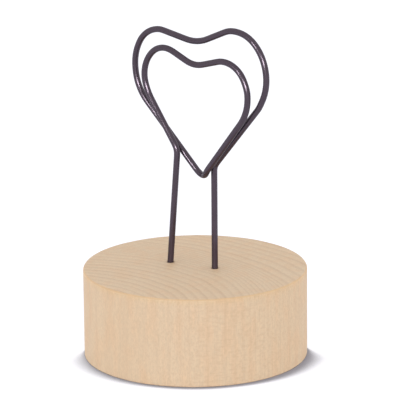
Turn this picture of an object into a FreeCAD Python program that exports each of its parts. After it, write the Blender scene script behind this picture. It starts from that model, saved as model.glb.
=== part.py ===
import FreeCAD, Part
import math
import os

# A photo holder: a round wooden block that carries a clip bent from one wire.
# The wire runs up the left leg, round the front heart, through the tip, round the
# larger rear heart and down the right leg. A photo is held between the two hearts.
# X runs across the hearts, -Y is the front, and the block stands on Z = 0.
# Lengths are in millimetres, angles in degrees.

# Block
block_diameter = 60.0
block_height = 24.0
block_edge_break = 0.4

# Wire, with its coating, and the slot that it leaves for the photo
wire_diameter = 1.7
wire_end_break = 0.2
photo_slot = 0.5

# Place of the legs on the block's top: their midpoint, and their distance along X
clip_offset_x = -1.3
clip_offset_y = 0.62
leg_spacing = 13.2

# Leg holes, and the glue that fills the play between hole and leg
hole_play = 0.1
hole_depth = 14.0
hole_point_angle = 118.0
leg_end_gap = 0.6
glue_recess = 0.3

# Bends between legs and hearts: the corner's height above the block, how far it lies
# to the right of the leg's foot, and the radius along the wire's centre line
left_bend_rise = 31.7
left_bend_shift = 2.75
left_bend_radius = 4.0
right_bend_rise = 28.2
right_bend_shift = 0.05
right_bend_radius = 3.0

# Tip that both hearts share, from the legs' midpoint and from the block's top
tip_offset_x = 3.3
tip_rise = 23.9
tip_radius = 3.0
cross_over_run = 4.0
cross_over_radius = 4.0

# Front heart, along the centre line: its height is measured from the tip's corner, and
# its offset runs from the legs' midpoint to the middle of its width
front_heart_width = 33.8
front_heart_height = 35.0
front_heart_offset_x = 2.3

# Rear heart, measured in the same way
rear_heart_width = 43.0
rear_heart_height = 41.85
rear_heart_offset_x = 2.2

# Corners of the front heart, from its left side over the top and down its right side:
# X from its middle as a share of its width, Z from the tip's corner as a share of its
# height, and the bend's radius as a share of its width
front_heart_shares = [
    (-0.465, 0.630, 0.440),
    (-0.535, 0.840, 0.260),
    (-0.350, 1.020, 0.175),
    (-0.230, 0.990, 0.145),
    (-0.010, 0.895, 0.220),
    (0.240, 0.965, 0.095),
    (0.410, 0.970, 0.220),
    (0.500, 0.770, 0.225),
    (0.505, 0.600, 0.350),
]

# Corners of the rear heart, in the same order and the same shares of its own size
rear_heart_shares = [
    (-0.485, 0.530, 0.310),
    (-0.510, 0.750, 0.290),
    (-0.420, 0.920, 0.185),
    (-0.305, 0.940, 0.105),
    (-0.020, 0.885, 0.265),
    (0.225, 1.000, 0.155),
    (0.360, 0.995, 0.210),
    (0.470, 0.875, 0.280),
    (0.520, 0.685, 0.300),
    (0.445, 0.530, 0.105),
]

# Part of a straight run between two bends that stays straight when room is short
straight_share = 0.02

# How far a cutting solid reaches past the face that it cuts
cut_overrun = 2.0

# Stretch of wire, in wire diameters, whose own bend is no gap between two runs
neighbour_share = 4.0
gap_step_share = 0.25

# Worked out from the sizes above
wire_radius = wire_diameter / 2
hole_radius = wire_radius + hole_play
loop_pitch = wire_diameter + photo_slot
front_y = clip_offset_y - loop_pitch / 2
rear_y = clip_offset_y + loop_pitch / 2
left_foot = FreeCAD.Vector(clip_offset_x - leg_spacing / 2, front_y, block_height)
right_foot = FreeCAD.Vector(clip_offset_x + leg_spacing / 2, rear_y, block_height)
left_bend = left_foot + FreeCAD.Vector(left_bend_shift, 0, left_bend_rise)
right_bend = right_foot + FreeCAD.Vector(right_bend_shift, 0, right_bend_rise)
tip = FreeCAD.Vector(clip_offset_x + tip_offset_x, rear_y, block_height + tip_rise)


def leg_direction(foot, bend):
    """Unit vector up a leg, from its foot to its bend"""
    return (bend - foot).normalize()


def leg_end(foot, bend):
    """Where the wire ends inside the block, on the leg's own line"""
    return foot - leg_direction(foot, bend) * (hole_depth - leg_end_gap)


def heart_corners(shares, width, height, offset_x, y):
    """Corners and bend radii of one heart, without its tip"""
    corners = []
    for across_share, up_share, radius_share in shares:
        x = clip_offset_x + offset_x + across_share * width
        z = tip.z + up_share * height
        corners.append((FreeCAD.Vector(x, y, z), radius_share * width))
    return corners


def wire_corners():
    """All corners of the wire, from the end of the left leg to the end of the right leg"""
    front = heart_corners(
        front_heart_shares, front_heart_width, front_heart_height, front_heart_offset_x, front_y
    )
    rear = heart_corners(
        rear_heart_shares, rear_heart_width, rear_heart_height, rear_heart_offset_x, rear_y
    )
    # Just above the tip the wire steps from the rear heart's plane to the front one's
    last_front = front[-1][0]
    run_up = FreeCAD.Vector(last_front.x - tip.x, 0, last_front.z - tip.z).normalize()
    cross_over = tip + run_up * cross_over_run
    cross_over.y = front_y
    corners = [(leg_end(left_foot, left_bend), 0)]
    corners.append((left_bend, left_bend_radius))
    corners.extend(front)
    corners.append((cross_over, cross_over_radius))
    corners.append((tip, tip_radius))
    corners.extend(rear)
    corners.append((right_bend, right_bend_radius))
    corners.append((leg_end(right_foot, right_bend), 0))
    return corners


def bend_lengths(corners):
    """How much each bend takes of the runs beside it, kept within those runs"""
    wanted = [0]
    for before, here, after in zip(corners, corners[1:], corners[2:]):
        turn = (here[0] - before[0]).getAngle(after[0] - here[0])
        wanted.append(here[1] * math.tan(turn / 2))
    wanted.append(0)
    allowed = list(wanted)
    for i in range(len(corners) - 1):
        room = (corners[i + 1][0] - corners[i][0]).Length * (1 - straight_share)
        taken = wanted[i] + wanted[i + 1]
        if taken > room:
            allowed[i] = min(allowed[i], wanted[i] * room / taken)
            allowed[i + 1] = min(allowed[i + 1], wanted[i + 1] * room / taken)
    return allowed


def centre_line():
    """The wire's centre line: straight runs joined by tangent arcs"""
    corners = wire_corners()
    lengths = bend_lengths(corners)
    edges = []
    run_start = corners[0][0]
    for i in range(1, len(corners) - 1):
        here = corners[i][0]
        back = (corners[i - 1][0] - here).normalize()
        ahead = (corners[i + 1][0] - here).normalize()
        arc_start = here + back * lengths[i]
        arc_end = here + ahead * lengths[i]
        half_angle = back.getAngle(ahead) / 2
        radius = lengths[i] * math.tan(half_angle)
        to_centre = (back + ahead).normalize()
        arc_middle = here + to_centre * (radius / math.sin(half_angle) - radius)
        edges.append(Part.LineSegment(run_start, arc_start).toShape())
        edges.append(Part.Arc(arc_start, arc_middle, arc_end).toShape())
        run_start = arc_end
    edges.append(Part.LineSegment(run_start, corners[-1][0]).toShape())
    return Part.Wire(edges)


def least_gap(path):
    """Least clear distance between two stretches of the wire that aren't neighbours"""
    points = path.discretize(Distance=wire_diameter * gap_step_share)
    step = path.Length / (len(points) - 1)
    skip = math.ceil(wire_diameter * neighbour_share / step)
    least = path.Length
    for i, point in enumerate(points):
        for other in points[i + skip:]:
            least = min(least, point.distanceToPoint(other))
    return least - wire_diameter


def bent_wire(path):
    """The wire itself: a round section carried along the centre line, its ends broken"""
    start = path.Edges[0].Vertexes[0].Point
    direction = leg_direction(left_foot, left_bend)
    section = Part.Wire(Part.makeCircle(wire_radius, start, direction))
    tube = path.makePipeShell([section], True, False)
    ends = []
    for face in tube.Faces:
        if isinstance(face.Surface, Part.Plane):
            ends.extend(face.Edges)
    return tube.makeChamfer(wire_end_break, ends)


def leg_hole(foot, bend):
    """A drilled hole along a leg's line, with the cone that the drill's point leaves"""
    down = leg_direction(foot, bend) * -1
    mouth = foot - down * cut_overrun
    shaft = Part.makeCylinder(hole_radius, hole_depth + cut_overrun, mouth, down)
    cone_depth = hole_radius / math.tan(math.radians(hole_point_angle / 2))
    cone = Part.makeCone(hole_radius, 0, cone_depth, foot + down * hole_depth, down)
    return shaft.fuse(cone).removeSplitter()


def wooden_block(holes):
    """The turned block, its sharp edges taken off, with the two leg holes"""
    block = Part.makeCylinder(block_diameter / 2, block_height)
    rims = [edge for edge in block.Edges if isinstance(edge.Curve, Part.Circle)]
    block = block.makeChamfer(block_edge_break, rims)
    return block.cut(holes)


def glue_filling(hole, wire):
    """Glue round one leg: what the leg leaves of its hole, up to just under the top"""
    reach = block_diameter / 2
    below_top = Part.makeCylinder(reach, block_height - glue_recess)
    return hole.common(below_top).cut(wire)


path = centre_line()
left_hole = leg_hole(left_foot, left_bend)
right_hole = leg_hole(right_foot, right_bend)
clip = bent_wire(path)
parts = {
    "wooden_block": wooden_block([left_hole, right_hole]),
    "wire_clip": clip,
    "left_leg_glue": glue_filling(left_hole, clip),
    "right_leg_glue": glue_filling(right_hole, clip),
}

section_area = math.pi * wire_radius ** 2
print("wire length %.1f mm" % path.Length)
print("wire volume is %.4f of section times length" % (clip.Volume / (section_area * path.Length)))
print("least gap of the wire to itself %.2f mm" % least_gap(path))

os.makedirs("parts", exist_ok=True)
for name, shape in parts.items():
    print(name, "solids", len(shape.Solids), "valid", shape.isValid(), "volume %.2f" % shape.Volume)
    shape.exportStep("parts/%s.step" % name)
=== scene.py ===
import math
import bmesh
import bpy
from mathutils import Matrix, Quaternion, Vector, noise


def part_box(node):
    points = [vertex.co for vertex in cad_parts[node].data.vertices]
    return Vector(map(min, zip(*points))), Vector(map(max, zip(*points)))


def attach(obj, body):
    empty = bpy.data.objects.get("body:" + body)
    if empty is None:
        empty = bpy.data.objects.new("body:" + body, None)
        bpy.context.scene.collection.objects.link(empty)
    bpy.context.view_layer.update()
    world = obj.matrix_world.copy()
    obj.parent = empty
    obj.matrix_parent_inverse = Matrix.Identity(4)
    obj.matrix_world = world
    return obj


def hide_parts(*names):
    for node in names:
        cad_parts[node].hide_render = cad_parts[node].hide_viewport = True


# A photo holder: a round wooden block that carries a clip bent from one coated wire.
# X runs across the hearts, -Y is the front, and the block stands on Z = 0.
# Lengths are in metres, angles in degrees. The materials' patterns are in millimetres.

MM = 0.001

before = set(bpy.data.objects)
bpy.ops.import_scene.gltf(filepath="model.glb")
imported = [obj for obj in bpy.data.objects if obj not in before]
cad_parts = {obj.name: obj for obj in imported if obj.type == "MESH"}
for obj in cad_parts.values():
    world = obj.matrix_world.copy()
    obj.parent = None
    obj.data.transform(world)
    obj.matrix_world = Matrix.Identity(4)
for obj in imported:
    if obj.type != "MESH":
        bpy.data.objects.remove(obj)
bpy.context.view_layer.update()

# Block, whose rims are sanded round, a little more or less as one goes round them
block_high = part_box("wooden_block")[1]
block_radius = block_high.x
block_top = block_high.z
rim_radius = 0.5 * MM
foot_rim_radius = 0.25 * MM
rim_wear_share = 0.3
rim_wear_lobes = 5.0
top_rim_seed = 0.0
foot_rim_seed = 9.0
rim_steps = 6
block_sides = 192
face_ring_shares = (0.25, 0.5, 0.75, 0.9)
wall_ring_shares = (0.2, 0.4, 0.6, 0.8)

# An edge that turns by more than this stays sharp
crease_angle = 40.0

# Wire, the slot that it leaves for the photo, and how much its coating thins in places
wire_radius = 0.85 * MM
photo_slot = 0.5 * MM
wire_sides = 28
wire_step = 0.4 * MM
wire_soften = 0.6 * MM
wire_end_radius = 0.25 * MM
coating_dip = 0.004 * MM
coating_wave = 4.0 * MM
coating_fine_share = 0.35
coating_fine_ratio = 3.1

# Feet of the legs on the block's top: their midpoint, and their distance along X
clip_offset_x = -1.3 * MM
clip_offset_y = 0.62 * MM
leg_spacing = 13.2 * MM

# Leg holes, whose mouths flare and fray a little: the flare in shares of its width, at
# shares of its depth. Then the glue, whose surface climbs at the wire and at the wood
hole_play = 0.1 * MM
hole_depth = 14.0 * MM
hole_point_angle = 118.0
hole_flare = 0.13 * MM
hole_flare_depth = 0.16 * MM
hole_flare_shares = ((0.0, 2.0), (0.15, 1.0), (0.5, 0.4))
hole_fray = 0.03 * MM
hole_fray_lobes = 3.0
hole_sides = 48
cutter_overrun = 2.0 * MM
leg_end_gap = 0.6 * MM
glue_recess = 0.3 * MM
glue_meniscus = 0.09 * MM
glue_steps = 6

# Bends between legs and hearts: height above the block, shift from the foot, radius
left_bend_rise = 31.7 * MM
left_bend_shift = 2.75 * MM
left_bend_radius = 4.0 * MM
right_bend_rise = 28.2 * MM
right_bend_shift = 0.05 * MM
right_bend_radius = 3.0 * MM

# Tip that both hearts share
tip_offset_x = 3.3 * MM
tip_rise = 23.9 * MM
tip_radius = 3.0 * MM
cross_over_run = 4.0 * MM
cross_over_radius = 4.0 * MM

# Hearts, along the wire's centre line
front_heart_width = 33.8 * MM
front_heart_height = 35.0 * MM
front_heart_offset_x = 2.3 * MM
rear_heart_width = 43.0 * MM
rear_heart_height = 41.85 * MM
rear_heart_offset_x = 2.2 * MM

# Corners of each heart from its left side over the top: X from the middle as a share of
# the width, Z from the tip as a share of the height, bend radius as a share of the width
front_heart_shares = [
    (-0.465, 0.630, 0.440),
    (-0.535, 0.840, 0.260),
    (-0.350, 1.020, 0.175),
    (-0.230, 0.990, 0.145),
    (-0.010, 0.895, 0.220),
    (0.240, 0.965, 0.095),
    (0.410, 0.970, 0.220),
    (0.500, 0.770, 0.225),
    (0.505, 0.600, 0.350),
]
rear_heart_shares = [
    (-0.485, 0.530, 0.310),
    (-0.510, 0.750, 0.290),
    (-0.420, 0.920, 0.185),
    (-0.305, 0.940, 0.105),
    (-0.020, 0.885, 0.265),
    (0.225, 1.000, 0.155),
    (0.360, 0.995, 0.210),
    (0.470, 0.875, 0.280),
    (0.520, 0.685, 0.300),
    (0.445, 0.530, 0.105),
]
straight_share = 0.02

# Worked out from the sizes above
hole_radius = wire_radius + hole_play
hole_bottom = -hole_depth - hole_radius / math.tan(math.radians(hole_point_angle / 2))
leg_bottom = -(hole_depth - leg_end_gap)
loop_pitch = 2 * wire_radius + photo_slot
front_y = clip_offset_y - loop_pitch / 2
rear_y = clip_offset_y + loop_pitch / 2
left_foot = Vector((clip_offset_x - leg_spacing / 2, front_y, block_top))
right_foot = Vector((clip_offset_x + leg_spacing / 2, rear_y, block_top))
left_bend = left_foot + Vector((left_bend_shift, 0, left_bend_rise))
right_bend = right_foot + Vector((right_bend_shift, 0, right_bend_rise))
tip = Vector((clip_offset_x + tip_offset_x, rear_y, block_top + tip_rise))

# Camera, from the middle of the block's top
camera_distance = 0.90716
camera_azimuth = 36.78
camera_elevation = 16.897
camera_pan = -0.0935
camera_tilt = 1.1192
camera_roll = 0.55
camera_lens = 304.72
camera_sensor = 36.0
camera_near = 0.05

# Floor: its colour, and the glow that the camera sees on it
floor_size = 12.0
floor_drop = 0.03 * MM
floor_touch = 0.12 * MM
floor_colour = (0.355, 0.36, 0.42, 1.0)
floor_lift = 0.74

# Painted shade round the block's foot, which dims the floor's glow: how far it reaches before the
# block and beside it, how open the place is where it is darkest and where it ends, and the way
# that its open side leans.
# Its front is the side that the photograph was taken from, which isn't quite the side of the
# lamps here. It is fixed to the floor and doesn't follow the camera. Behind the block the
# shade fades out, between two shares of the block's radius towards that front
contact_front_reach = 2.6 * MM
contact_side_reach = 7.5 * MM
contact_dark = 0.52
contact_clear = 0.92
contact_azimuth = 244.0
contact_lean = 24.0
shade_front_azimuth = 37.0
shade_end_shares = (-0.15, 0.30)

# Light of the sky overhead and at the horizon, and the side from which it is stronger.
# Azimuth 0 is the front, and elevation is above the floor
sky_overhead = 0.55
sky_horizon = 3.00
bright_azimuth = 20.0
bright_share = 0.10
light_centre = Vector((0, 0, 0.04))

# Long lamps that show only as glints, above all on the wire. A tilt turns one in its plane
window_distance = 0.9
windows = {
    "right_window": {
        "azimuth": 30.0,
        "elevation": 12.0,
        "width": 0.50,
        "height": 0.11,
        "tilt": 22.0,
        "radiance": 36.0,
    },
    "left_window": {
        "azimuth": -4.0,
        "elevation": 17.0,
        "width": 0.34,
        "height": 0.06,
        "tilt": 46.0,
        "radiance": 38.0,
    },
}


def direction_to(azimuth, elevation):
    """Unit vector from the object towards an azimuth and an elevation"""
    azimuth, elevation = math.radians(azimuth), math.radians(elevation)
    across = math.cos(elevation)
    return Vector((math.sin(azimuth) * across, -math.cos(azimuth) * across, math.sin(elevation)))


def make_camera():
    """The camera of the photograph, turned a little from the middle of the block's top"""
    back = direction_to(camera_azimuth, camera_elevation)
    ahead = -back
    right = ahead.cross(Vector((0, 0, 1))).normalized()
    up = right.cross(ahead)
    pan = Quaternion(up, math.radians(camera_pan))
    ahead, right = pan @ ahead, pan @ right
    tilt = Quaternion(right, math.radians(camera_tilt))
    ahead, up = tilt @ ahead, tilt @ up
    roll = Quaternion(ahead, math.radians(camera_roll))
    right, up = roll @ right, roll @ up
    data = bpy.data.cameras.new("camera")
    data.lens = camera_lens
    data.sensor_width = camera_sensor
    data.clip_start = camera_near
    data.clip_end = 2 * floor_size
    camera = bpy.data.objects.new("camera", data)
    turn = Matrix((right, up, -ahead)).transposed().to_4x4()
    place = Vector((0, 0, block_top)) + back * camera_distance
    camera.matrix_world = Matrix.Translation(place) @ turn
    bpy.context.scene.collection.objects.link(camera)
    bpy.context.scene.camera = camera


def add_node(tree, kind, inputs=None, **settings):
    """Adds a node; each input is a value or the socket that feeds it"""
    made = tree.nodes.new(kind)
    for key, value in settings.items():
        setattr(made, key, value)
    for key, value in (inputs or {}).items():
        if isinstance(value, bpy.types.NodeSocket):
            tree.links.new(value, made.inputs[key])
        else:
            made.inputs[key].default_value = value
    return made


def maths(tree, operation, *values):
    """One step of arithmetic on numbers or sockets"""
    return add_node(tree, "ShaderNodeMath", dict(enumerate(values)), operation=operation).outputs[0]


def vector_maths(tree, operation, *values):
    """One step of arithmetic on vectors"""
    made = add_node(tree, "ShaderNodeVectorMath", dict(enumerate(values)), operation=operation)
    return made.outputs[0]


def vector_number(tree, operation, *values):
    """A number worked out from vectors, such as a length or a dot product"""
    made = add_node(tree, "ShaderNodeVectorMath", dict(enumerate(values)), operation=operation)
    return made.outputs["Value"]


def mix_colours(tree, factor, first, second, blend="MIX"):
    """Mixes two colours"""
    inputs = {0: factor, 6: first, 7: second}
    made = add_node(tree, "ShaderNodeMix", inputs, data_type="RGBA", blend_type=blend)
    return made.outputs[2]


def spread(tree, value, low, high, to_low=0.0, to_high=1.0, smooth=False):
    """Carries a value from one range to another, and holds it at the ends"""
    inputs = {"Value": value, "From Min": low, "From Max": high, "To Min": to_low, "To Max": to_high}
    kind = "SMOOTHSTEP" if smooth else "LINEAR"
    return add_node(tree, "ShaderNodeMapRange", inputs, interpolation_type=kind).outputs[0]


def noise_at(tree, place, cells_per_mm, detail=2.0, roughness=0.5):
    """Noise with a number of cells to the millimetre along X, Y and Z"""
    cells = vector_maths(tree, "MULTIPLY", place, cells_per_mm)
    inputs = {"Vector": cells, "Scale": 1.0, "Detail": detail, "Roughness": roughness}
    return add_node(tree, "ShaderNodeTexNoise", inputs)


def noise_shift(tree, place, cells_per_mm, reach):
    """A shift by coarse noise, of up to half a reach in millimetres each way"""
    shift = noise_at(tree, place, cells_per_mm, detail=1.0).outputs["Color"]
    shift = vector_maths(tree, "SUBTRACT", shift, (0.5, 0.5, 0.5))
    return vector_maths(tree, "MULTIPLY", shift, reach)


def specks(tree, place, cells_per_mm, fade_range):
    """1 at the middle of each cell of a pattern, fading to 0 over a range of distances"""
    cells = vector_maths(tree, "MULTIPLY", place, cells_per_mm)
    inputs = {"Vector": cells, "Scale": 1.0}
    distance = add_node(tree, "ShaderNodeTexVoronoi", inputs).outputs["Distance"]
    return spread(tree, distance, *fade_range, 1.0, 0.0, smooth=True)


def set_bump(tree, shader, height, strength, distance):
    """Makes a shader's surface uneven by a height"""
    inputs = {"Height": height, "Strength": strength, "Distance": distance}
    bump = add_node(tree, "ShaderNodeBump", inputs)
    tree.links.new(bump.outputs[0], shader.inputs["Normal"])


def new_material(name):
    """A material, its node tree and its one shader"""
    material = bpy.data.materials.new(name)
    material.use_nodes = True
    tree = material.node_tree
    return material, tree, tree.nodes["Principled BSDF"]


def place_in_mm(tree):
    """The place on the object, in millimetres"""
    place = add_node(tree, "ShaderNodeTexCoord").outputs["Object"]
    scaled = add_node(tree, "ShaderNodeVectorMath", {0: place, "Scale": 1 / MM}, operation="SCALE")
    return scaled.outputs[0]


# Wood: its rings are round a pith that lay in front of the block, and its grain is upright
pith = (-8.0, -56.0, 0.0)
inner_ring_width = 2.5
fine_ring_width = 1.3
outer_ring_width = 2.9
fine_ring_start = 56.0
fine_ring_end = 68.0
ring_reach = 100.0
side_early = (0.768, 0.583, 0.392, 1)
side_late = (0.670, 0.465, 0.290, 1)
# The end grain's colours are darker and greyer than the wall's: partly the end grain's own tone, partly
# painted shade on the top and underside
end_early_shaded = (0.710, 0.547, 0.380, 1)
end_late_shaded = (0.585, 0.410, 0.262, 1)
# The rounded rim is painted a darker orange: painted shade along the edge
rim_shade_colour = (0.66, 0.43, 0.24, 1)
blush_colour = (1.01, 0.925, 0.855, 1)
edge_warmth = (1.01, 0.975, 0.885, 1)
edge_band = 2.2

# How dark a ring is where it starts and ends, and between, at shares of its width. Luck
# then makes each ring a little paler or not
ring_start_level = 0.35
ring_level_shares = ((0.12, 0.0), (0.55, 0.2), (0.84, 0.9), (0.93, 1.0))
ring_luck = (0.6, 1.0)

# Marks in the wood, in cells to the millimetre along X, Y and Z. Those of the rays are
# round the pith, away from it and up. A reach is in millimetres
wander_cells = (0.05, 0.05, 0.012)
wander_reach = (3.0, 3.0, 0.0)
ripple_cells = (0.5, 0.5, 0.04)
ripple_reach = (0.5, 0.5, 0.0)
ray_cells = (4.0, 0.35, 1.7)
fibre_cells = (3.4, 3.4, 0.10)
speckle_cells = (2.0, 2.0, 0.9)
vessel_cells = (4.5, 4.5, 0.16)
blush_cells = (0.30, 0.30, 0.10)
cloud_cells = (0.06, 0.06, 0.04)

# The values of a pattern between which its mark comes in, and those that most of a noise has
ray_range = (0.46, 0.66)
blush_range = (0.42, 0.68)
vessel_range = (0.10, 0.30)
bubble_range = (0.15, 0.30)
noise_range = (0.3, 0.7)

# How far upright a face is where end grain comes in, and where the painted shade on the rounded rim
# comes and goes
end_grain_range = (0.55, 0.95)
rim_shade_start_range = (0.10, 0.45)
rim_shade_end_range = (0.80, 0.98)

# How strongly each mark shows: as a share of the colour that it mixes in, or as the
# brightness at its two ends
side_ring_share = 0.30
end_ring_share = 0.80
ray_share = 0.42
vessel_share = 0.12
blush_share = 0.55
cloud_share = 0.27
rim_shade_share = 0.65
fibre_levels = (0.963, 1.033)
speckle_levels = (0.945, 1.055)
wood_roughness = (0.64, 0.52)
wood_bump_depth = 0.02 * MM

# Coating: its darkest and palest colour, its marks and its roughness
coating_dark = (0.052, 0.036, 0.052, 1)
coating_pale = (0.069, 0.048, 0.068, 1)
coating_patch_cells = (0.35, 0.35, 0.35)
coating_grain_cells = (3.0, 3.0, 3.0)
coating_roughness = (0.16, 0.25)
coating_bump_depth = 0.010 * MM

# Glue: its darkest and palest colour, its marks and its roughness
glue_dark = (0.20, 0.12, 0.05, 1)
glue_pale = (0.34, 0.22, 0.10, 1)
bubble_colour = (0.55, 0.42, 0.25, 1)
bubble_cells = (7.0, 7.0, 7.0)
bubble_share = 0.4
glue_cloud_cells = (0.8, 0.8, 0.8)
glue_roughness = (0.12, 0.25)
glue_bump_depth = 0.02 * MM


def ring_age(tree, radius):
    """How many rings lie inside a radius; the rings are narrower between two radii"""
    inner = fine_ring_start / inner_ring_width
    fine = (fine_ring_end - fine_ring_start) / fine_ring_width
    outer = (ring_reach - fine_ring_end) / outer_ring_width
    first = spread(tree, radius, 0.0, fine_ring_start, 0.0, inner)
    second = spread(tree, radius, fine_ring_start, fine_ring_end, 0.0, fine)
    third = spread(tree, radius, fine_ring_end, ring_reach, 0.0, outer)
    return maths(tree, "ADD", maths(tree, "ADD", first, second), third)


def latewood(tree, age):
    """How dark the wood is across each ring: a slow rise, then a sharp fall"""
    across = maths(tree, "FRACT", age)
    ramp = add_node(tree, "ShaderNodeValToRGB", {0: across})
    stops = ramp.color_ramp
    stops.interpolation = "EASE"
    for stop, position in zip(stops.elements, (0.0, 1.0)):
        stop.position = position
        stop.color = (ring_start_level, ring_start_level, ring_start_level, 1)
    for position, level in ring_level_shares:
        stops.elements.new(position).color = (level, level, level, 1)
    ring = maths(tree, "FLOOR", age)
    luck = add_node(tree, "ShaderNodeTexWhiteNoise", {"W": ring}, noise_dimensions="1D")
    luck = spread(tree, luck.outputs["Value"], 0, 1, *ring_luck)
    return maths(tree, "MULTIPLY", ramp.outputs[0], luck)


def rings_and_rays(tree, place):
    """How dark the rings make the wood, and where its rays are"""
    wander = noise_shift(tree, place, wander_cells, wander_reach)
    ripple = noise_shift(tree, place, ripple_cells, ripple_reach)
    grown = vector_maths(tree, "ADD", vector_maths(tree, "ADD", place, wander), ripple)
    from_pith = vector_maths(tree, "SUBTRACT", grown, pith)
    radius = vector_number(tree, "LENGTH", vector_maths(tree, "MULTIPLY", from_pith, (1, 1, 0)))
    late = latewood(tree, ring_age(tree, radius))
    # Rays stand upright and run from the pith: thin round it, long across the rings
    parts = add_node(tree, "ShaderNodeSeparateXYZ", {0: from_pith}).outputs
    turn = maths(tree, "ARCTAN2", parts["X"], parts["Y"])
    around = maths(tree, "MULTIPLY", turn, fine_ring_start)
    polar = add_node(tree, "ShaderNodeCombineXYZ", {0: around, 1: radius, 2: parts["Z"]}).outputs[0]
    rays = noise_at(tree, polar, ray_cells).outputs["Fac"]
    return late, spread(tree, rays, *ray_range, smooth=True)


def end_grain_and_rim_shade(tree):
    """End grain shows on top and below, and the rounded rim lies between it and the wall, where painted
    shade goes
    """
    facing = add_node(tree, "ShaderNodeTexCoord").outputs["Normal"]
    upright = add_node(tree, "ShaderNodeSeparateXYZ", {0: facing}).outputs["Z"]
    upright = maths(tree, "ABSOLUTE", upright)
    end_grain = spread(tree, upright, *end_grain_range, smooth=True)
    rim_start = spread(tree, upright, *rim_shade_start_range, smooth=True)
    rim_end = spread(tree, upright, *rim_shade_end_range, 1.0, 0.0, smooth=True)
    return end_grain, maths(tree, "MULTIPLY", rim_start, rim_end)


def ringed_colour(tree, late, end_grain):
    """The colour of early and late wood, on the wall and on the end grain, whose darker colour is partly
    painted shade
    """
    early = mix_colours(tree, end_grain, side_early, end_early_shaded)
    dark = mix_colours(tree, end_grain, side_late, end_late_shaded)
    depth = spread(tree, end_grain, 0, 1, side_ring_share, end_ring_share)
    return mix_colours(tree, maths(tree, "MULTIPLY", late, depth), early, dark)


def clouded_colour(tree, place, colour):
    """The colour with darker clouds and pinker patches in it"""
    clouds = noise_at(tree, place, cloud_cells).outputs["Fac"]
    tint = spread(tree, clouds, *noise_range, 0.0, cloud_share)
    colour = mix_colours(tree, tint, colour, mix_colours(tree, 0.5, colour, side_late))
    blush = noise_at(tree, place, blush_cells, detail=1.0).outputs["Fac"]
    blush = spread(tree, blush, *blush_range, 0.0, blush_share, smooth=True)
    return mix_colours(tree, blush, colour, blush_colour, "MULTIPLY")


def upper_wall(tree, place, end_grain):
    """The wall just under its top edge, which is made a little warmer"""
    level = add_node(tree, "ShaderNodeSeparateXYZ", {0: place}).outputs["Z"]
    top_edge = block_top / MM
    near = spread(tree, level, top_edge - edge_band, top_edge, smooth=True)
    return maths(tree, "MULTIPLY", near, maths(tree, "SUBTRACT", 1.0, end_grain))


def wood_material():
    """Pale close-grained hardwood: rings, fibres, vessels and rays as one solid"""
    material, tree, shader = new_material("pale_hardwood")
    place = place_in_mm(tree)
    late, rays = rings_and_rays(tree, place)
    end_grain, rim = end_grain_and_rim_shade(tree)
    fibres = noise_at(tree, place, fibre_cells, detail=3.0, roughness=0.6).outputs["Fac"]
    speckle = noise_at(tree, place, speckle_cells, detail=3.0, roughness=0.6).outputs["Fac"]
    vessels = specks(tree, place, vessel_cells, vessel_range)
    colour = clouded_colour(tree, place, ringed_colour(tree, late, end_grain))
    streaks = spread(tree, fibres, *noise_range, *fibre_levels)
    colour = mix_colours(tree, 1.0, colour, streaks, "MULTIPLY")
    spots = spread(tree, speckle, *noise_range, *speckle_levels)
    colour = mix_colours(tree, 1.0, colour, spots, "MULTIPLY")
    colour = mix_colours(tree, maths(tree, "MULTIPLY", rays, ray_share), colour, side_late)
    colour = mix_colours(tree, maths(tree, "MULTIPLY", vessels, vessel_share), colour, side_late)
    colour = mix_colours(tree, upper_wall(tree, place, end_grain), colour, edge_warmth, "MULTIPLY")
    # Painted shade on the rounded rim
    colour = mix_colours(tree, maths(tree, "MULTIPLY", rim, rim_shade_share), colour, rim_shade_colour)
    tree.links.new(colour, shader.inputs["Base Color"])
    roughness = spread(tree, maths(tree, "ADD", fibres, late), 0.3, 1.7, *wood_roughness)
    tree.links.new(roughness, shader.inputs["Roughness"])
    height = maths(tree, "SUBTRACT", maths(tree, "MULTIPLY", fibres, 0.6), vessels)
    set_bump(tree, shader, height, 0.35, wood_bump_depth)
    shader.inputs["Specular IOR Level"].default_value = 0.35
    return material


def coating_material():
    """Satin plum-brown coating on the wire, a little uneven"""
    material, tree, shader = new_material("plum_brown_coating")
    place = place_in_mm(tree)
    patches = noise_at(tree, place, coating_patch_cells, detail=3.0).outputs["Fac"]
    grain = noise_at(tree, place, coating_grain_cells, detail=3.0).outputs["Fac"]
    colour = mix_colours(tree, patches, coating_dark, coating_pale)
    tree.links.new(colour, shader.inputs["Base Color"])
    both = maths(tree, "ADD", maths(tree, "MULTIPLY", patches, 0.6), maths(tree, "MULTIPLY", grain, 0.4))
    roughness = spread(tree, both, *noise_range, *coating_roughness)
    tree.links.new(roughness, shader.inputs["Roughness"])
    height = maths(tree, "ADD", grain, maths(tree, "MULTIPLY", patches, 2.0))
    set_bump(tree, shader, height, 0.2, coating_bump_depth)
    shader.inputs["Metallic"].default_value = 0.5
    shader.inputs["Specular IOR Level"].default_value = 1.0
    shader.inputs["Specular Tint"].default_value = (0.6, 0.6, 0.6, 1)
    return material


def glue_material():
    """Hardened amber glue with small bubbles"""
    material, tree, shader = new_material("amber_glue")
    place = place_in_mm(tree)
    bubbles = specks(tree, place, bubble_cells, bubble_range)
    cloud = noise_at(tree, place, glue_cloud_cells).outputs["Fac"]
    colour = mix_colours(tree, cloud, glue_dark, glue_pale)
    colour = mix_colours(tree, maths(tree, "MULTIPLY", bubbles, bubble_share), colour, bubble_colour)
    tree.links.new(colour, shader.inputs["Base Color"])
    roughness = spread(tree, cloud, *noise_range, *glue_roughness)
    tree.links.new(roughness, shader.inputs["Roughness"])
    set_bump(tree, shader, bubbles, 0.4, glue_bump_depth)
    return material


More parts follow.
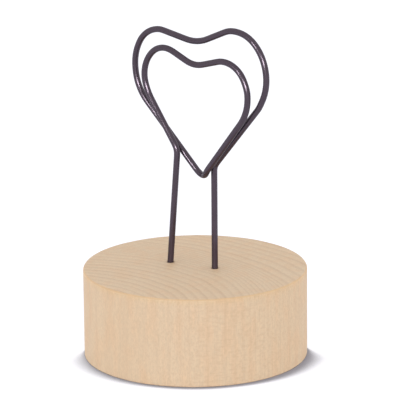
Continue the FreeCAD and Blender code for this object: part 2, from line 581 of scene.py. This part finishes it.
def new_piece(name, mesh, material, node):
    """Adds a finished piece that stands for one node of the frame"""
    mesh.materials.clear()
    mesh.materials.append(material)
    mesh.shade_smooth()
    mesh.set_sharp_from_angle(angle=math.radians(crease_angle))
    piece = bpy.data.objects.new(name, mesh)
    bpy.context.scene.collection.objects.link(piece)
    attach(piece, "root")
    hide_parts(node)


def join_rings(shape, rings):
    """Faces between rings of as many vertices each"""
    for low, high in zip(rings, rings[1:]):
        for i in range(len(low)):
            j = (i + 1) % len(low)
            shape.faces.new((low[i], low[j], high[j], high[i]))


def close_ring(shape, ring, place):
    """Closes a ring with faces that meet at one place"""
    middle = shape.verts.new(place)
    for i in range(len(ring)):
        shape.faces.new((ring[i], ring[(i + 1) % len(ring)], middle))


def finished(shape, name):
    """The mesh of a closed shape, with its faces turned outwards"""
    bmesh.ops.recalc_face_normals(shape, faces=shape.faces)
    mesh = bpy.data.meshes.new(name)
    shape.to_mesh(mesh)
    shape.free()
    return mesh


def leg_frame(foot, bend):
    """Turns Z onto a leg's line, with the origin at its foot"""
    turn = (bend - foot).to_track_quat("Z", "Y").to_matrix().to_4x4()
    return Matrix.Translation(foot) @ turn


def turned(profile, sides, offset):
    """Rings of places round Z from a profile of radii and heights, each a number or a
    function of the angle. They start round by a share of one side"""
    rings = []
    for radius, height in profile:
        ring = []
        for i in range(sides):
            angle = 2 * math.pi * (i + offset) / sides
            r = radius(angle) if callable(radius) else radius
            h = height(angle) if callable(height) else height
            ring.append(Vector((r * math.cos(angle), r * math.sin(angle), h)))
        rings.append(ring)
    return rings


def turned_mesh(name, profile, sides, end_heights, place, offset=0.0):
    """A closed solid turned round Z, its ends closed at two heights, and then put in place"""
    shape = bmesh.new()
    rings = [[shape.verts.new(place @ p) for p in ring] for ring in turned(profile, sides, offset)]
    join_rings(shape, rings)
    for ring, height in zip((rings[0], rings[-1]), end_heights):
        close_ring(shape, ring, place @ Vector((0, 0, height)))
    return finished(shape, name)


def rim_at(angle, radius, seed):
    """How far a rim is rounded at an angle: hand sanding never leaves it quite even"""
    place = Vector((math.cos(angle) * rim_wear_lobes, math.sin(angle) * rim_wear_lobes, seed))
    return radius * (1 + rim_wear_share * noise.noise(place))


def rim_profile(height, radius, sign, seed):
    """The rounded rim from the wall to a flat face; the sign is 1 on top and -1 below"""
    points = []
    for k in range(rim_steps + 1):
        turn = math.radians(90 * k / rim_steps)
        points.append((
            lambda a, t=turn: block_radius - rim_at(a, radius, seed) * (1 - math.cos(t)),
            lambda a, t=turn: height - sign * rim_at(a, radius, seed) * (1 - math.sin(t)),
        ))
    return points


def block_mesh():
    """The turned block with softened rims, drilled for both legs"""
    face_radius = block_radius - 2 * rim_radius
    top = rim_profile(block_top, rim_radius, 1, top_rim_seed)
    bottom = rim_profile(0.0, foot_rim_radius, -1, foot_rim_seed)
    face = [share * face_radius for share in face_ring_shares] + [face_radius]
    wall_low, wall_high = 2 * rim_radius, block_top - 2 * rim_radius
    wall = [wall_low + share * (wall_high - wall_low) for share in (0, *wall_ring_shares, 1)]
    profile = [(radius, 0.0) for radius in face]
    profile += bottom[::-1]
    profile += [(block_radius, height) for height in wall]
    profile += top
    profile += [(radius, block_top) for radius in face[::-1]]
    ends = (0.0, block_top)
    return drilled(turned_mesh("turned_block", profile, block_sides, ends, Matrix.Identity(4), 0.5))


def drill_mesh(foot, bend):
    """The space that a drill cut for one leg, with a mouth that is slightly frayed"""
    def mouth(angle):
        place = foot / MM + Vector((math.cos(angle), math.sin(angle), 0)) * hole_fray_lobes
        return hole_radius + hole_flare + hole_fray * noise.noise(place)

    profile = [(hole_radius, -hole_depth)]
    for width_share, depth_share in hole_flare_shares:
        profile.append((hole_radius + hole_flare * width_share, -hole_flare_depth * depth_share))
    profile += [(mouth, 0.0), (mouth, cutter_overrun)]
    ends = (hole_bottom, cutter_overrun)
    return turned_mesh("drill", profile, hole_sides, ends, leg_frame(foot, bend))


def drilled(mesh):
    """The block's mesh with both leg holes cut out of it"""
    block = bpy.data.objects.new("block_before_drilling", mesh)
    bpy.context.scene.collection.objects.link(block)
    drills = []
    for foot, bend in ((left_foot, left_bend), (right_foot, right_bend)):
        drill = bpy.data.objects.new("drill", drill_mesh(foot, bend))
        bpy.context.scene.collection.objects.link(drill)
        cut = block.modifiers.new("hole", "BOOLEAN")
        cut.operation = "DIFFERENCE"
        cut.solver = "EXACT"
        cut.object = drill
        drills.append(drill)
    bpy.context.view_layer.update()
    depsgraph = bpy.context.evaluated_depsgraph_get()
    made = bpy.data.meshes.new_from_object(block.evaluated_get(depsgraph))
    for thing in (block, *drills):
        bpy.data.objects.remove(thing)
    return made


def heart_corners(shares, width, height, offset_x, y):
    """Corners and bend radii of one heart, without its tip"""
    corners = []
    for across_share, up_share, radius_share in shares:
        x = clip_offset_x + offset_x + across_share * width
        z = tip.z + up_share * height
        corners.append((Vector((x, y, z)), radius_share * width))
    return corners


def leg_end(foot, bend):
    """Where the wire ends inside the block"""
    return foot + (bend - foot).normalized() * leg_bottom


def wire_corners():
    """All corners of the wire, from the end of the left leg to the end of the right leg"""
    front = heart_corners(
        front_heart_shares, front_heart_width, front_heart_height, front_heart_offset_x, front_y
    )
    rear = heart_corners(
        rear_heart_shares, rear_heart_width, rear_heart_height, rear_heart_offset_x, rear_y
    )
    last_front = front[-1][0]
    run_up = Vector((last_front.x - tip.x, 0, last_front.z - tip.z)).normalized()
    cross_over = tip + run_up * cross_over_run
    cross_over.y = front_y
    corners = [(leg_end(left_foot, left_bend), 0), (left_bend, left_bend_radius)]
    corners += front
    corners += [(cross_over, cross_over_radius), (tip, tip_radius)]
    corners += rear
    corners += [(right_bend, right_bend_radius), (leg_end(right_foot, right_bend), 0)]
    return corners


def bend_lengths(corners):
    """How much each bend takes of the runs beside it, kept within those runs"""
    wanted = [0]
    for before, here, after in zip(corners, corners[1:], corners[2:]):
        turn = (here[0] - before[0]).angle(after[0] - here[0])
        wanted.append(here[1] * math.tan(turn / 2))
    wanted.append(0)
    allowed = list(wanted)
    for i in range(len(corners) - 1):
        room = (corners[i + 1][0] - corners[i][0]).length * (1 - straight_share)
        taken = wanted[i] + wanted[i + 1]
        if taken > room:
            allowed[i] = min(allowed[i], wanted[i] * room / taken)
            allowed[i + 1] = min(allowed[i + 1], wanted[i + 1] * room / taken)
    return allowed


def arc_points(here, back, ahead, length):
    """Places along the arc that rounds a corner"""
    half = back.angle(ahead) / 2
    radius = length * math.tan(half)
    to_centre = (back + ahead).normalized()
    centre = here + to_centre * (radius / math.sin(half))
    start = here + back * length - centre
    end = here + ahead * length - centre
    sweep = start.angle(end)
    count = max(2, math.ceil(radius * sweep / wire_step * 2))
    axis = start.cross(end).normalized()
    return [centre + Quaternion(axis, sweep * k / count) @ start for k in range(count + 1)]


def route():
    """The wire's centre line as evenly spaced places, with its bends eased as in real wire"""
    corners = wire_corners()
    lengths = bend_lengths(corners)
    places = [corners[0][0]]
    for i in range(1, len(corners) - 1):
        here = corners[i][0]
        back = (corners[i - 1][0] - here).normalized()
        ahead = (corners[i + 1][0] - here).normalized()
        places += arc_points(here, back, ahead, lengths[i])
    places.append(corners[-1][0])
    return eased(evenly_spaced(places))


def evenly_spaced(places):
    """Places a steady step apart along a line of straight pieces"""
    runs = [(b - a).length for a, b in zip(places, places[1:])]
    count = round(sum(runs) / wire_step)
    step = sum(runs) / count
    spaced = [places[0].copy()]
    run, used = 0, 0.0
    for k in range(1, count):
        target = step * k
        while used + runs[run] < target:
            used += runs[run]
            run += 1
        spaced.append(places[run].lerp(places[run + 1], (target - used) / runs[run]))
    spaced.append(places[-1].copy())
    return spaced


def eased(places):
    """The same line with each place drawn to the mean of its neighbours"""
    rounds = round((wire_soften / wire_step) ** 2 * 2)
    for _ in range(rounds):
        middle = [(a + b * 2 + c) / 4 for a, b, c in zip(places, places[1:], places[2:])]
        places = [places[0], *middle, places[-1]]
    return places


def coating_radius(place):
    """The coated wire's radius, which dips a little where the coating ran thin"""
    wave = noise.noise(place / coating_wave)
    fine = noise.noise(place / coating_wave * coating_fine_ratio)
    dip = (wave + coating_fine_share * fine + 1 + coating_fine_share) / 2
    return wire_radius - coating_dip * dip


def wire_mesh():
    """The coated wire as one tube along its route, with its cut ends rounded over"""
    places = route()
    ahead = [(b - a).normalized() for a, b in zip(places, places[1:])]
    directions = [ahead[0]] + [(a + b).normalized() for a, b in zip(ahead, ahead[1:])] + [ahead[-1]]
    side = directions[0].orthogonal().normalized()
    shape = bmesh.new()
    rings = []
    for k, (place, direction) in enumerate(zip(places, directions)):
        if k:
            side = directions[k - 1].rotation_difference(direction) @ side
        side = (side - direction * side.dot(direction)).normalized()
        other = direction.cross(side)
        ring = []
        for i in range(wire_sides):
            angle = 2 * math.pi * i / wire_sides
            out = side * math.cos(angle) + other * math.sin(angle)
            ring.append(shape.verts.new(place + out * coating_radius(place + out * wire_radius)))
        rings.append(ring)
    join_rings(shape, rings)
    close_end(shape, rings[0], places[0], -directions[0])
    close_end(shape, rings[-1], places[-1], directions[-1])
    return finished(shape, "coated_wire")


def close_end(shape, ring, place, direction):
    """Closes an end of the wire and rounds its edge, within the wire's length"""
    in_share = wire_end_radius / wire_radius
    corner_share = 1 - math.sqrt(0.5)
    outs = [v.co - place for v in ring]
    back = direction * wire_end_radius
    inner = [shape.verts.new(place + out * (1 - in_share)) for out in outs]
    middle = []
    for out in outs:
        around = out * (1 - in_share * corner_share)
        middle.append(shape.verts.new(place + around - back * corner_share))
    for v in ring:
        v.co -= back
    join_rings(shape, [ring, middle, inner])
    shape.faces.new(inner)


def glue_mesh(foot, bend):
    """Glue round one leg: hollow for the wire, filled to the hole's point, with a surface
    that climbs a little at the wire and at the wood"""
    surface = []
    for k in range(glue_steps + 1):
        share = k / glue_steps
        climb = glue_meniscus * (2 * share - 1) ** 2
        radius = wire_radius + share * (hole_radius - wire_radius)
        surface.append((radius, -glue_recess - glue_meniscus + climb))
    profile = [(wire_radius, leg_bottom), *surface, (hole_radius, -hole_depth)]
    ends = (leg_bottom, hole_bottom)
    return turned_mesh("glue", profile, hole_sides, ends, leg_frame(foot, bend))


def make_floor():
    """A pale floor that shows white to the camera and keeps the object's shadow, with painted shade near
    the block's foot
    """
    half = floor_size / 2
    mesh = bpy.data.meshes.new("floor")
    corners = [(-half, -half), (half, -half), (half, half), (-half, half)]
    mesh.from_pydata([(x, y, -floor_drop) for x, y in corners], [], [(0, 1, 2, 3)])
    mesh.materials.append(floor_material())
    floor = bpy.data.objects.new("floor", mesh)
    bpy.context.scene.collection.objects.link(floor)


def floor_material():
    """Matt and pale, with a glow that fades near the block's foot: painted shade"""
    material = bpy.data.materials.new("pale_floor")
    material.use_nodes = True
    tree = material.node_tree
    tree.nodes.clear()
    ground = add_node(tree, "ShaderNodeNewGeometry").outputs
    matt = add_node(tree, "ShaderNodeBsdfDiffuse", {"Color": floor_colour}).outputs[0]
    # The glow fades near the block's foot: painted shade
    glow = maths(tree, "MULTIPLY", seen_rays(tree), painted_shade_openness(tree, ground["Position"]))
    glow = maths(tree, "MULTIPLY", glow, floor_lift)
    glow = add_node(tree, "ShaderNodeEmission", {"Strength": glow}).outputs[0]
    both = add_node(tree, "ShaderNodeAddShader", {0: matt, 1: glow}).outputs[0]
    # It is clear from below, and for the block's underside, so that this can be looked at
    clear = add_node(tree, "ShaderNodeBsdfTransparent").outputs[0]
    length = add_node(tree, "ShaderNodeLightPath").outputs["Ray Length"]
    touching = maths(tree, "LESS_THAN", length, floor_touch)
    below = maths(tree, "MAXIMUM", ground["Backfacing"], touching)
    shown = add_node(tree, "ShaderNodeMixShader", {0: below, 1: both, 2: clear}).outputs[0]
    add_node(tree, "ShaderNodeOutputMaterial", {"Surface": shown})
    return material


def painted_shade_openness(tree, place):
    """How open a place on the floor is, which sets the painted shade that dims the floor's glow. In the
    photograph the block's shade is narrow before it and wide beside it, and ends there, so here it is
    gone behind the block"""
    ahead = vector_number(tree, "DOT_PRODUCT", place, direction_to(shade_front_azimuth, 0))
    before = maths(tree, "POWER", spread(tree, ahead, 0.0, block_radius), 2.0)
    reach = spread(tree, before, 0.0, 1.0, contact_side_reach, contact_front_reach)
    fade_start, fade_end = (share * block_radius for share in shade_end_shares)
    not_behind = spread(tree, ahead, fade_start, fade_end, smooth=True)
    reach = maths(tree, "MULTIPLY", reach, not_behind)
    lean = direction_to(contact_azimuth, 90 - contact_lean)
    lean = add_node(tree, "ShaderNodeCombineXYZ", dict(enumerate(lean))).outputs[0]
    near = {"Distance": reach, "Normal": lean}
    near = add_node(tree, "ShaderNodeAmbientOcclusion", near, samples=16)
    return spread(tree, near.outputs["AO"], contact_dark, contact_clear)


def seen_rays(tree):
    """1 for what the camera sees, straight, in a reflection or through glass"""
    path = add_node(tree, "ShaderNodeLightPath").outputs
    straight = maths(tree, "MAXIMUM", path["Is Camera Ray"], path["Is Glossy Ray"])
    return maths(tree, "MAXIMUM", straight, path["Is Transmission Ray"])


def make_world():
    """Soft light from all round, stronger near the horizon, with a white background"""
    world = bpy.data.worlds.new("studio")
    world.use_nodes = True
    tree = world.node_tree
    tree.nodes.clear()
    ray = add_node(tree, "ShaderNodeTexCoord").outputs["Generated"]
    height = add_node(tree, "ShaderNodeSeparateXYZ", {0: ray}).outputs["Z"]
    low = maths(tree, "SUBTRACT", 1.0, maths(tree, "ABSOLUTE", height))
    sky = spread(tree, maths(tree, "MULTIPLY", low, low), 0.0, 1.0, sky_overhead, sky_horizon)
    side = vector_number(tree, "DOT_PRODUCT", ray, direction_to(bright_azimuth, 0))
    side = spread(tree, side, -1, 1, 1 - bright_share, 1 + bright_share)
    sky = maths(tree, "MULTIPLY", sky, side)
    rest = maths(tree, "MULTIPLY", seen_rays(tree), maths(tree, "SUBTRACT", 1.0, sky))
    strength = maths(tree, "ADD", sky, rest)
    glow = add_node(tree, "ShaderNodeBackground", {"Color": (1, 1, 1, 1), "Strength": strength})
    add_node(tree, "ShaderNodeOutputWorld", {"Surface": glow.outputs[0]})
    bpy.context.scene.world = world


def make_window(name, azimuth, elevation, width, height, tilt, radiance):
    """A long, tilted lamp that faces the object and shows only as a glint on it"""
    data = bpy.data.lights.new(name, "AREA")
    data.shape = "RECTANGLE"
    data.size = width
    data.size_y = height
    data.energy = radiance * math.pi * width * height
    back = direction_to(azimuth, elevation)
    lamp = bpy.data.objects.new(name, data)
    lamp.location = light_centre + back * window_distance
    lamp.rotation_mode = "QUATERNION"
    roll = Quaternion(back, math.radians(tilt))
    lamp.rotation_quaternion = roll @ back.to_track_quat("Z", "Y")
    lamp.visible_camera = False
    lamp.visible_diffuse = False
    bpy.context.scene.collection.objects.link(lamp)


def make_pieces():
    """The pieces that stand for the frame's nodes"""
    wood, coating, glue = wood_material(), coating_material(), glue_material()
    new_piece("turned_wooden_block", block_mesh(), wood, "wooden_block")
    new_piece("coated_wire_clip", wire_mesh(), coating, "wire_clip")
    new_piece("left_glue_filling", glue_mesh(left_foot, left_bend), glue, "left_leg_glue")
    new_piece("right_glue_filling", glue_mesh(right_foot, right_bend), glue, "right_leg_glue")


bpy.context.scene.view_settings.view_transform = "Standard"
make_camera()
make_world()
make_floor()
for window, values in windows.items():
    make_window(window, **values)
make_pieces()
